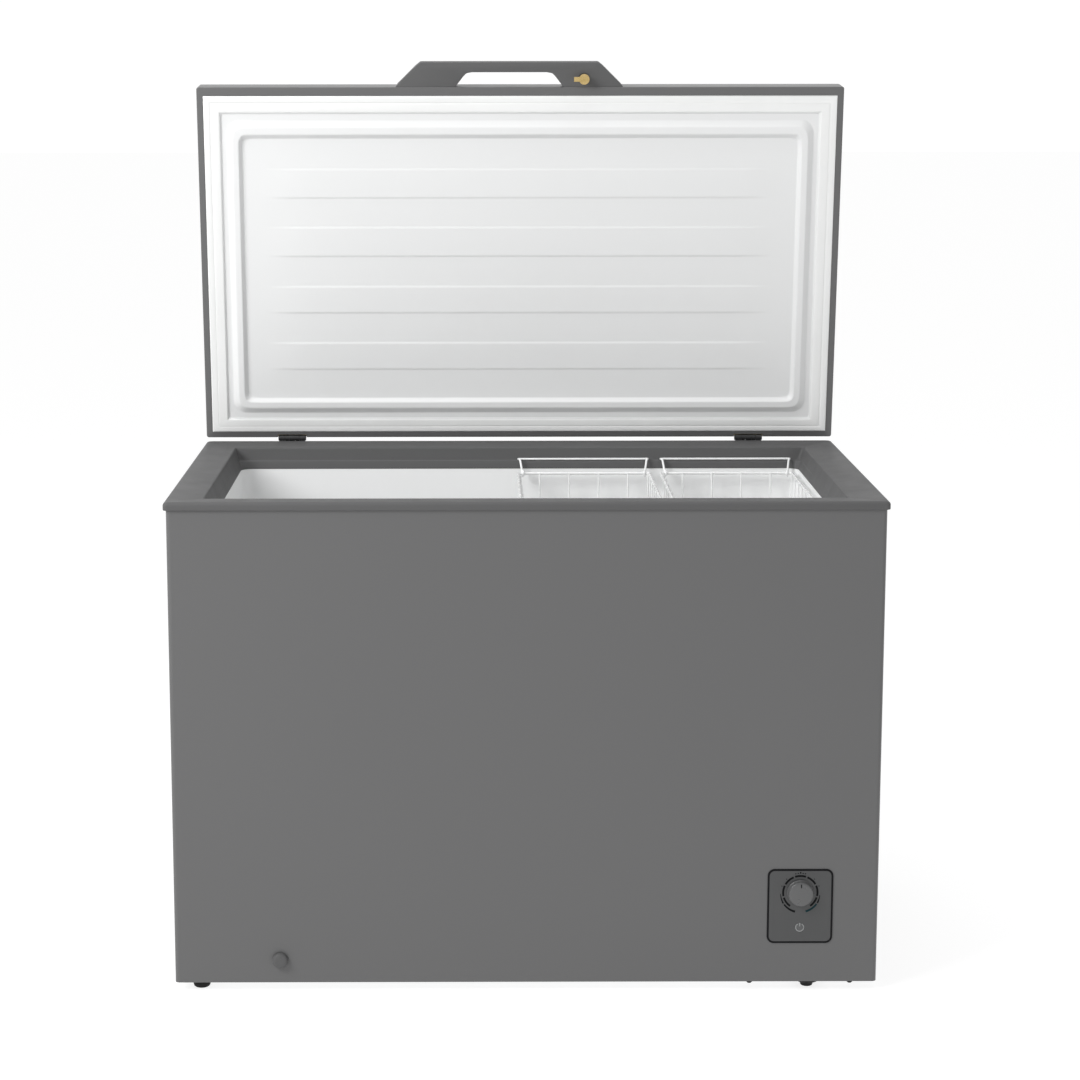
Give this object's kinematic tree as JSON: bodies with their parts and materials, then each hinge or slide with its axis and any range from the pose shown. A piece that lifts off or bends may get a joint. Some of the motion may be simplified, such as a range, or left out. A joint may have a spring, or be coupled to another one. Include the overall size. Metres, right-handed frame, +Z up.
{
  "type": "chest freezer",
  "caption": "Free-standing chest freezer with a counterbalanced lid, hanging wire baskets, a knob-controlled thermostat and a compressor compartment.",
  "frame": {"origin": "middle of the footprint at floor level, with the lid standing open", "axes": "+X to the right seen from the front, +Y towards the back, +Z up"},
  "size_m": [1.115, 0.6874, 1.454],
  "materials": {
    "grey_paint": "satin",
    "rim_plastic": "satin",
    "white_liner": "satin",
    "white_seal": "matte",
    "foam": "matte",
    "galvanised": "satin",
    "steel_back": "satin",
    "copper": "satin",
    "black_enamel": "satin",
    "black_plastic": "matte",
    "panel_plastic": "satin",
    "knob_plastic": "satin",
    "hinge_black": "matte",
    "zinc": "satin",
    "spring_steel": "satin",
    "brass": "satin",
    "rubber_black": "matte",
    "rubber_grey": "matte",
    "lamp_lens": "gloss",
    "clear_tube": "satin",
    "white_wire": "gloss",
    "thermo_body": "satin"
  },
  "bodies": {
    "cabinet": {"outer_shell": "grey_paint", "back_panel": "steel_back", "base_pan": "galvanised", "inner_liner": "white_liner", "cabinet_foam": "foam", "top_collar": "rim_plastic", "condenser_coil": "copper", "evaporator_coil": "copper", "compressor": "black_enamel", "compressor_tray": "galvanised", "compressor_grommets": "rubber_black", "compressor_bolts": "zinc", "relay_cover": "black_plastic", "filter_drier": "copper", "suction_tube": "copper", "discharge_tube": "copper", "capillary_tube": "copper", "vent_grille": "black_plastic", "rear_cover": "black_plastic", "rear_cover_screws": "zinc", "cord_gland": "rubber_black", "control_panel": "panel_plastic", "thermostat": "thermo_body", "sensor_line": "copper", "wiring_harness": "rubber_black", "power_lamp": "lamp_lens", "drain_tube": "clear_tube", "feet_left": "rubber_black", "feet_right": "rubber_black", "base_screws": "zinc", "hinge_base_left": "hinge_black", "hinge_base_right": "hinge_black", "hinge_pins": "zinc", "hinge_springs": "spring_steel", "hinge_base_screws": "zinc"},
    "lid": {"lid_shell": "grey_paint", "lid_foam": "foam", "lid_liner": "white_liner", "lid_gasket": "white_seal", "lid_handle": "rim_plastic", "handle_screws": "zinc", "hinge_arm_left": "hinge_black", "hinge_arm_right": "hinge_black", "hinge_arm_screws": "zinc", "lock_housing": "zinc"},
    "lock": {"lock_cylinder": "brass", "lock_cam": "brass"},
    "knob": {"thermostat_knob": "knob_plastic", "thermostat_shaft": "zinc"},
    "drain_plug": {"drain_plug": "panel_plastic"},
    "liner_plug": {"liner_plug": "rubber_grey"},
    "basket_right": {"basket_right": "white_wire"},
    "basket_left": {"basket_left": "white_wire"},
    "hanger_left_front": {"hanger_left_front": "white_wire"},
    "hanger_left_rear": {"hanger_left_rear": "white_wire"},
    "hanger_right_front": {"hanger_right_front": "white_wire"},
    "hanger_right_rear": {"hanger_right_rear": "white_wire"}
  },
  "joints": [
    {"name": "lid_hinge", "type": "hinge", "parent": "cabinet", "child": "lid", "pos_m": [0, 0.29139, 0.7889], "axis": [-1, 0, 0], "range_deg": [-84, 0], "stiffness_Nm_per_rad": 12},
    {"name": "lock_turn", "type": "hinge", "parent": "lid", "child": "lock", "pos_m": [0.109, 0.23264, 1.42535], "axis": [0, -0.9945, -0.1045], "range_deg": [0, 90]},
    {"name": "knob_turn", "type": "hinge", "parent": "cabinet", "child": "knob", "pos_m": [0.4305, -0.33271, 0.1615], "axis": [0, 1, 0], "range_deg": [-150, 150]},
    {"name": "drain_plug_pull", "type": "slide", "parent": "cabinet", "child": "drain_plug", "axis": [0, -1, 0], "range_m": [0, 0.03]},
    {"name": "liner_plug_lift", "type": "slide", "parent": "cabinet", "child": "liner_plug", "axis": [0, 0, 1], "range_m": [0, 0.025]},
    {"name": "basket_right_slide", "type": "slide", "parent": "cabinet", "child": "basket_right", "axis": [-1, 0, 0], "range_m": [0, 0.2]},
    {"name": "basket_left_slide", "type": "slide", "parent": "basket_right", "child": "basket_left", "axis": [-1, 0, 0], "range_m": [0, 0.22]},
    {"name": "hanger_left_front_fold", "type": "hinge", "parent": "basket_left", "child": "hanger_left_front", "pos_m": [0.1115, -0.24271, 0.74], "axis": [-1, 0, 0], "range_deg": [0, 120]},
    {"name": "hanger_left_rear_fold", "type": "hinge", "parent": "basket_left", "child": "hanger_left_rear", "pos_m": [0.1115, 0.19929, 0.74], "axis": [1, 0, 0], "range_deg": [0, 120]},
    {"name": "hanger_right_front_fold", "type": "hinge", "parent": "basket_right", "child": "hanger_right_front", "pos_m": [0.3615, -0.24271, 0.74], "axis": [-1, 0, 0], "range_deg": [0, 120]},
    {"name": "hanger_right_rear_fold", "type": "hinge", "parent": "basket_right", "child": "hanger_right_rear", "pos_m": [0.3615, 0.19929, 0.74], "axis": [1, 0, 0], "range_deg": [0, 120]}
  ]
}
